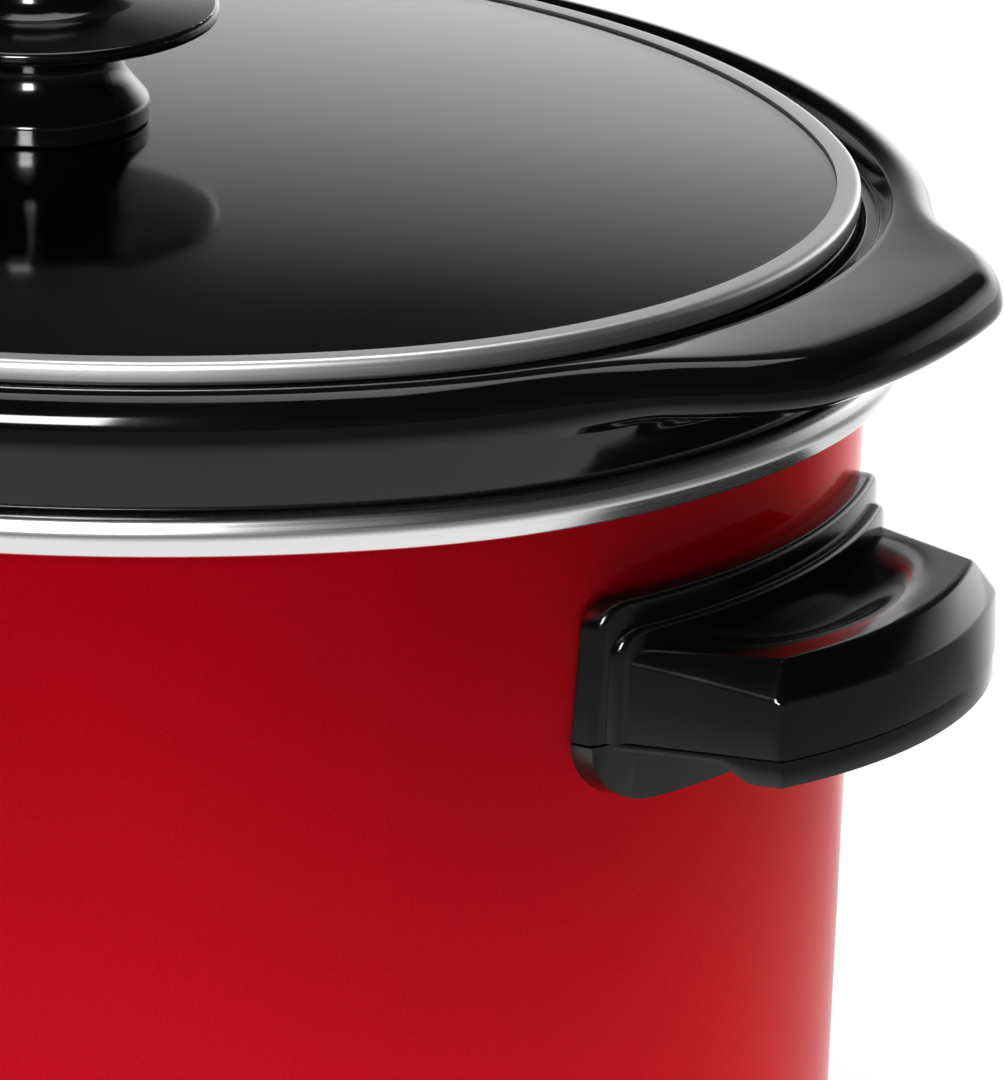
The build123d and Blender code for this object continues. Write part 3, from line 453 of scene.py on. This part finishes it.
def ovalReach(angle, offset):
    # distance from the middle to the oval in one direction
    direction = Vector((abs(math.cos(angle)), abs(math.sin(angle))))
    endMiddle = Vector((endCentre, 0))
    reach = arcReach(endMiddle, endRadius + offset, direction)
    arm = direction * reach - endMiddle
    if math.atan2(arm.y, arm.x) <= endSpan / 2:
        return reach
    return arcReach(Vector((0, -sideCentre)), sideRadius + offset, direction)


# Lid glass: an even low dome pressed from flat glass, with a hole for the knob's screw
dome = {"edge": -0.8, "edgeLow": 0.8, "thickness": 2.8, "hole": 2.5, "rings": 30, "steps": 240}
domeRise = heightOf(glassHigh.z) - dome["edgeLow"] - dome["thickness"]
bm = bmesh.new()
bmesh.ops.create_circle(bm, segments=dome["steps"], radius=1.0, cap_ends=False)
ring = list(bm.edges)
for step in range(dome["rings"], 0, -1):
    made = bmesh.ops.extrude_edge_only(bm, edges=ring)["geom"]
    ring = [part for part in made if isinstance(part, bmesh.types.BMEdge)]
    inner = [part for part in made if isinstance(part, bmesh.types.BMVert)]
    shrink = (step - 0.999) / step if step == 1 else (step - 1) / step
    bmesh.ops.scale(bm, vec=(shrink, shrink, 1), verts=inner)
for vert in bm.verts:
    share = vert.co.xy.length
    angle = math.atan2(vert.co.y, vert.co.x)
    reach = max(share * ovalReach(angle, dome["edge"]), dome["hole"])
    z = dome["edgeLow"] + dome["thickness"] + domeRise * (1 - share ** 2) + seat / mm
    vert.co = (math.cos(angle) * reach, math.sin(angle) * reach, z)
bmesh.ops.recalc_face_normals(bm, faces=bm.faces)
if sum(face.normal.z for face in bm.faces) < 0:
    bmesh.ops.reverse_faces(bm, faces=bm.faces)
bmesh.ops.solidify(bm, geom=bm.faces, thickness=dome["thickness"])
toObject("domedGlass", bm, "smoked_glass", "lid", ["lid_glass"])
print("glass made")

# Side handles: plate and boss pads that follow the housing, a dished grip, and a lower cover
handle = {"wallTop": 1.2, "taper": 0.042, "plate": 4.1, "boss": 6.1, "halfHigh": 49.4, "halfLow": 50.5,
          "bossHalf": 47.7, "bossDrop": 5.0, "corner": 6.0, "apronCorner": 14.0, "edge": 1.3, "step": 3.0}
grip = {"root": 149.0, "rootHalf": 48.6, "cornerX": 191.0, "tipHalf": 39.0, "top": -56.8, "bevelIn": 4.4,
        "bevelDrop": 6.8, "sideIn": 1.2, "sideDrop": 1.6, "dish": 4.2, "dishX": 170.0, "dishLong": 21.0,
        "dishHalf": 38.0, "across": 60, "along": 30, "edge": 0.7, "gap": 0.25, "strip": 1.4, "lip": 5.2,
        "lipFlat": 5.0, "lipEnd": 12.0, "draft": 0.5, "coverEdge": 0.45}
seam = heightOf(handleLow.z)
apronLow = heightOf(coverLow.z)
plateTop = heightOf(handleHigh.z)
frontX = handleHigh.x / mm
sagitta = frontX - grip["cornerX"]
frontRadius = (grip["tipHalf"] ** 2 + sagitta ** 2) / (2 * sagitta)


def wallOffset(z):
    return handle["wallTop"] - handle["taper"] * (trimFoot - z)


def onWall(bm):
    # bends a pad, laid out flat with X as its height off the wall, round the housing's right end
    for vert in bm.verts:
        z = vert.co.z - seat / mm
        radius = endRadius + wallOffset(z) + vert.co.x
        vert.co.x = endCentre + math.sqrt(radius ** 2 - vert.co.y ** 2)


def wallPad(corners, thickness, rounded):
    bm = bmesh.new()
    roundCorners(bm, corners, 8, lambda y, z: (0, y, z + seat / mm))
    made = bmesh.ops.extrude_face_region(bm, geom=list(bm.faces))["geom"]
    front = [part for part in made if isinstance(part, bmesh.types.BMVert)]
    bmesh.ops.translate(bm, vec=(thickness, 0, 0), verts=front)
    bmesh.ops.recalc_face_normals(bm, faces=bm.faces)
    edges = [edge for edge in bm.edges if all(v.co.x > thickness - 0.01 for v in edge.verts)
             and rounded(sum(v.co.z for v in edge.verts) / 2 - seat / mm)]
    bevelEdges(bm, edges, handle["edge"], 5)
    reach = max(abs(y) for y, _, _ in corners)
    cuts = int(2 * reach / handle["step"])
    for index in range(1, cuts):
        y = -reach + index * 2 * reach / cuts
        bmesh.ops.bisect_plane(bm, geom=list(bm.verts) + list(bm.edges) + list(bm.faces), dist=0.0001,
                               plane_co=(0, y, 0), plane_no=(0, 1, 0))
    onWall(bm)
    return bm


def gripPlace(across, along, inset):
    # across runs from -1 to 1, along from 0 at the wall to 1 at the front
    y = across * (grip["rootHalf"] + along * (grip["tipHalf"] - grip["rootHalf"]) - inset(along))
    front = frontX - frontRadius + math.sqrt(frontRadius ** 2 - y ** 2) - inset(1)
    return grip["root"] + along * (front - grip["root"]), y


def gripBlock():
    # upper part of the grip: dished top, bevel that widens to the front, plain sides down to the seam
    bm = bmesh.new()
    acrossCount, alongCount = grip["across"], grip["along"]
    bmesh.ops.create_grid(bm, x_segments=acrossCount, y_segments=alongCount, size=1.0)

    def sideInset(along):
        return grip["sideIn"] + (grip["bevelIn"] - grip["sideIn"]) * along ** 1.5

    rim = []
    for vert in bm.verts:
        i = round((vert.co.x + 1) / 2 * acrossCount)
        j = round((vert.co.y + 1) / 2 * alongCount)
        if i in (0, acrossCount) or j == alongCount:
            across, along = -1 + 2 * i / acrossCount, j / alongCount
            x, y = gripPlace(across, along, lambda t: 0)
            drop = grip["bevelDrop"] if j == alongCount else (
                grip["sideDrop"] + (grip["bevelDrop"] - grip["sideDrop"]) * along ** 1.5)
            vert.co = (x, y, grip["top"] - drop + seat / mm)
            rim.append(vert)
            continue
        across = -1 + 2 * (i - 1) / (acrossCount - 2)
        along = j / (alongCount - 1)
        x, y = gripPlace(across, along, sideInset)
        reach = math.hypot(y / grip["dishHalf"], (x - grip["dishX"]) / grip["dishLong"])
        z = grip["top"] - grip["dish"] * (1 - smoothStep(0.35, 1.0, reach))
        vert.co = (x, y, z + seat / mm)
    border = [edge for edge in bm.edges if edge.is_boundary]
    made = bmesh.ops.extrude_edge_only(bm, edges=border)["geom"]
    foot = [part for part in made if isinstance(part, bmesh.types.BMVert)]
    for vert in foot:
        vert.co.z = seam + grip["gap"] + seat / mm
    bmesh.ops.holes_fill(bm, edges=[edge for edge in bm.edges if edge.is_boundary], sides=0)
    bmesh.ops.recalc_face_normals(bm, faces=bm.faces)
    creased = [edge for edge in bm.edges if len(edge.link_faces) == 2
               and edge.calc_face_angle() > math.radians(16)
               and min(v.co.x for v in edge.verts) > grip["root"] + 1
               and max(v.co.z for v in edge.verts) > seam + 1 + seat / mm]
    bevelEdges(bm, creased, grip["edge"], 3)
    return bm


def coverGrip():
    # lower strip of the grip: thin along the sides, deepening to a finger lip along the front
    bm = bmesh.new()
    acrossCount, alongCount = grip["across"], grip["along"]
    bmesh.ops.create_grid(bm, x_segments=acrossCount, y_segments=alongCount, size=1.0)
    for vert in bm.verts:
        i = round((vert.co.x + 1) / 2 * acrossCount)
        j = round((vert.co.y + 1) / 2 * alongCount)
        x, y = gripPlace(-1 + 2 * i / acrossCount, j / alongCount, lambda t: grip["draft"] * t)
        edge = frontX - frontRadius + math.sqrt(frontRadius ** 2 - y ** 2) - x
        deep = 1 - smoothStep(grip["lipFlat"], grip["lipEnd"], edge)
        vert.co = (x, y, seam - grip["strip"] - (grip["lip"] - grip["strip"]) * deep + seat / mm)
    border = [edge for edge in bm.edges if edge.is_boundary]
    made = bmesh.ops.extrude_edge_only(bm, edges=border)["geom"]
    rim = [part for part in made if isinstance(part, bmesh.types.BMVert)]
    for vert in rim:
        vert.co.z = seam - grip["gap"] + seat / mm
    bmesh.ops.holes_fill(bm, edges=[edge for edge in bm.edges if edge.is_boundary], sides=0)
    bmesh.ops.recalc_face_normals(bm, faces=bm.faces)
    creased = [edge for edge in bm.edges if len(edge.link_faces) == 2
               and edge.calc_face_angle() > math.radians(30)
               and min(v.co.x for v in edge.verts) > grip["root"] + 1]
    bevelEdges(bm, creased, grip["coverEdge"], 3)
    return bm


def joinShapes(shapes):
    # one mesh from several closed shapes of the same moulding
    whole = bmesh.new()
    for bm in shapes:
        part = bpy.data.meshes.new("part")
        bm.to_mesh(part)
        bm.free()
        whole.from_mesh(part)
        bpy.data.meshes.remove(part)
    return whole


def onBothEnds(name, makeShapes, nodeName):
    for side in ("right", "left"):
        bm = joinShapes(makeShapes())
        if side == "left":
            bmesh.ops.scale(bm, vec=(-1, 1, 1), verts=bm.verts)
            bmesh.ops.reverse_faces(bm, faces=bm.faces)
        toObject(f"{name}{side.capitalize()}", bm, "black_phenolic", "base", [f"{nodeName}_{side}"])


def padCorners(halfLow, low, halfHigh, high, roundLow, roundHigh):
    return [(-halfLow, low, roundLow), (halfLow, low, roundLow), (halfHigh, high, roundHigh),
            (-halfHigh, high, roundHigh)]


def upperShapes():
    low = seam + grip["gap"]
    plate = wallPad(padCorners(handle["halfLow"], low, handle["halfHigh"], plateTop, 0, handle["corner"]),
                    handle["plate"], lambda z: z > seam + 1)
    bossTop = plateTop - handle["bossDrop"]
    boss = wallPad(padCorners(handle["bossHalf"], low, handle["bossHalf"], bossTop, 0, handle["corner"]),
                   handle["boss"], lambda z: z > seam + 1)
    return [plate, boss, gripBlock()]


def lowerShapes():
    apron = wallPad(padCorners(handle["halfLow"], apronLow, handle["halfLow"], seam - grip["gap"],
                               handle["apronCorner"], 0), handle["plate"], lambda z: z < seam - 1)
    return [apron, coverGrip()]


onBothEnds("handleUpper", upperShapes, "handle_body")
onBothEnds("handleCover", lowerShapes, "handle_cover")
print("handles made")

# Dial marks: raised dots on the bezel for off, low, high and warm, round the control's half turn
marks = {"radius": 22.7, "dots": ((0, 0.6), (60, 0.85), (120, 1.2), (180, 0.85)), "height": 0.6,
         "sunk": 0.3, "edge": 0.15, "sides": 40}
bezelMiddle = (bezelLow + bezelHigh) / 2 / mm
markFace = bezelLow.y / mm + marks["sunk"] - marks["height"] / 2
towardsFront = Matrix.Rotation(math.pi / 2, 4, "X")
bm = bmesh.new()
for degrees, size in marks["dots"]:
    swing = math.radians(degrees)
    spot = Vector((-math.cos(swing) * marks["radius"], markFace,
                   bezelMiddle.z + math.sin(swing) * marks["radius"]))
    bmesh.ops.create_cone(bm, cap_ends=True, segments=marks["sides"], radius1=size, radius2=size,
                          depth=marks["height"], matrix=Matrix.Translation(spot) @ towardsFront)
sharp = [edge for edge in bm.edges if edge.calc_face_angle() > math.radians(60)]
bevelEdges(bm, sharp, marks["edge"])
toObject("dialMarks", bm, "pale_inlay", "base")
print("dial marks made")

shot = {"azimuth": 32.49, "elevation": 18.39, "distance": 2.414, "right": 0.08893, "up": -0.07306,
        "lens": 418.6}
azimuth, elevation = math.radians(shot["azimuth"]), math.radians(shot["elevation"])
forward = Vector((-math.sin(azimuth) * math.cos(elevation), math.cos(azimuth) * math.cos(elevation),
                  -math.sin(elevation)))
right = Vector((math.cos(azimuth), math.sin(azimuth), 0))
up = right.cross(forward)
target = Vector((0, 0, seat)) + right * shot["right"] + up * shot["up"]
camera = bpy.data.objects.new("camera", bpy.data.cameras.new("camera"))
camera.data.sensor_width = 36
camera.data.lens = shot["lens"]
turn = Matrix((right, up, -forward)).transposed().to_4x4()
camera.matrix_world = Matrix.Translation(target - forward * shot["distance"]) @ turn
bpy.context.scene.collection.objects.link(camera)
bpy.context.scene.camera = camera


def softbox(name, swing, lift, distance, size, watts):
    # swing is degrees from the front (-Y) towards +X, lift is degrees above the table
    lamp = bpy.data.lights.new(name, "AREA")
    lamp.shape = "RECTANGLE"
    lamp.size, lamp.size_y = size
    lamp.energy = watts
    a, e = math.radians(swing), math.radians(lift)
    aim = Vector((0, 0, 0.12))
    away = Vector((math.sin(a) * math.cos(e), -math.cos(a) * math.cos(e), math.sin(e)))
    box = bpy.data.objects.new(name, lamp)
    facing = away.to_track_quat("Z", "Y").to_matrix().to_4x4()
    box.matrix_world = Matrix.Translation(aim + away * distance) @ facing
    bpy.context.scene.collection.objects.link(box)


softbox("keyLight", 20, 24, 1.9, (0.4, 0.6), 34)
softbox("topLight", 200, 80, 2.0, (1.2, 1.2), 14)

# The floor and the studio are pale to look at; what the object mirrors is white behind it and to its
# right, and dark towards the front, as between black cards
studio = {"whiteUpTo": 0.17, "darkFrom": 0.38, "dark": 0.02, "frontTone": 0.03, "leftTone": 0.2,
          "rightTone": 1.8, "sideSpan": 0.35, "skyTone": 1.5, "skyFrom": 0.1, "skyTo": 0.9,
          "floorNear": 1.1, "floorFar": 0.2, "nearEdge": 0.2, "farEdge": 0.6, "floorBack": 1.8,
          "backFrom": 0.2, "backTo": 0.95, "floorSize": 8.0, "floorGlow": 0.75}
backward = Vector((forward.x, forward.y, 0)).normalized()

bm = bmesh.new()
bmesh.ops.create_grid(bm, x_segments=1, y_segments=1, size=studio["floorSize"])
floorMesh = bpy.data.meshes.new("floor")
bm.to_mesh(floorMesh)
bm.free()
floor = bpy.data.objects.new("floor", floorMesh)
bpy.context.scene.collection.objects.link(floor)
floorMaterial, tree, shader, place = startMaterial("paleFloor", {
    "Roughness": 0.6, "Emission Strength": studio["floorGlow"], "Base Color": hexColour("#f4f4f4"),
    "Emission Color": hexColour("#ffffff")})
aside = addNode(tree, "ShaderNodeVectorMath", {"operation": "NORMALIZE"}, {0: place})
across = addNode(tree, "ShaderNodeVectorMath", {"operation": "DOT_PRODUCT", 1: tuple(backward)},
                 {0: aside.outputs[0]})
backTone = addNode(tree, "ShaderNodeMapRange",
                   {"interpolation_type": "SMOOTHSTEP", 1: studio["backFrom"], 2: studio["backTo"],
                    3: 0.0, 4: studio["floorBack"]}, {0: across.outputs["Value"]})
reach = addNode(tree, "ShaderNodeVectorMath", {"operation": "LENGTH"}, {0: place})
nearTone = addNode(tree, "ShaderNodeMapRange",
                   {"interpolation_type": "SMOOTHSTEP", 1: studio["nearEdge"], 2: studio["farEdge"],
                    3: studio["floorNear"], 4: studio["floorFar"]}, {0: reach.outputs["Value"]})
tone = addNode(tree, "ShaderNodeMath", {"operation": "MAXIMUM"},
               {0: backTone.outputs[0], 1: nearTone.outputs[0]})
mirrored = addNode(tree, "ShaderNodeEmission", {}, {"Strength": tone.outputs[0]})
seen = addNode(tree, "ShaderNodeLightPath")
mix = addNode(tree, "ShaderNodeMixShader", {}, {0: seen.outputs["Is Camera Ray"], 1: mirrored.outputs[0],
                                                2: shader.outputs[0]})
tree.links.new(mix.outputs[0], tree.nodes["Material Output"].inputs["Surface"])
floorMesh.materials.append(floorMaterial)

world = bpy.data.worlds.new("studio")
bpy.context.scene.world = world
world.use_nodes = True
tree = world.node_tree
background = tree.nodes["Background"]
sky = addNode(tree, "ShaderNodeTexCoord").outputs["Generated"]
height = addNode(tree, "ShaderNodeSeparateXYZ", {}, {0: sky})
ramp = addNode(tree, "ShaderNodeValToRGB", {}, {0: height.outputs["Z"]})
ramp.color_ramp.elements[0].position = studio["whiteUpTo"]
ramp.color_ramp.elements[0].color = (1, 1, 1, 1)
ramp.color_ramp.elements[1].position = studio["darkFrom"]
ramp.color_ramp.elements[1].color = (*[studio["dark"]] * 3, 1)
facing = addNode(tree, "ShaderNodeVectorMath", {"operation": "DOT_PRODUCT", 1: tuple(backward)}, {0: sky})
behind = addNode(tree, "ShaderNodeMapRange",
                 {"interpolation_type": "SMOOTHSTEP", 1: studio["skyFrom"], 2: studio["skyTo"],
                  3: studio["frontTone"], 4: studio["skyTone"]}, {0: facing.outputs["Value"]})
sideways = addNode(tree, "ShaderNodeVectorMath", {"operation": "DOT_PRODUCT", 1: tuple(right)}, {0: sky})
leftward = addNode(tree, "ShaderNodeMapRange",
                   {"interpolation_type": "SMOOTHSTEP", 1: -studio["sideSpan"], 2: studio["sideSpan"],
                    3: studio["leftTone"], 4: studio["rightTone"]}, {0: sideways.outputs["Value"]})
strength = addNode(tree, "ShaderNodeMath", {"operation": "MULTIPLY"},
                   {0: behind.outputs[0], 1: leftward.outputs[0]})
mirrored = addNode(tree, "ShaderNodeBackground", {},
                   {"Color": ramp.outputs[0], "Strength": strength.outputs[0]})
seen = addNode(tree, "ShaderNodeLightPath")
mix = addNode(tree, "ShaderNodeMixShader", {}, {0: seen.outputs["Is Camera Ray"], 1: mirrored.outputs[0],
                                                2: background.outputs[0]})
background.inputs["Color"].default_value = (1, 1, 1, 1)
tree.links.new(mix.outputs[0], tree.nodes["World Output"].inputs["Surface"])
bpy.context.scene.view_settings.view_transform = "Standard"
print("stage made")
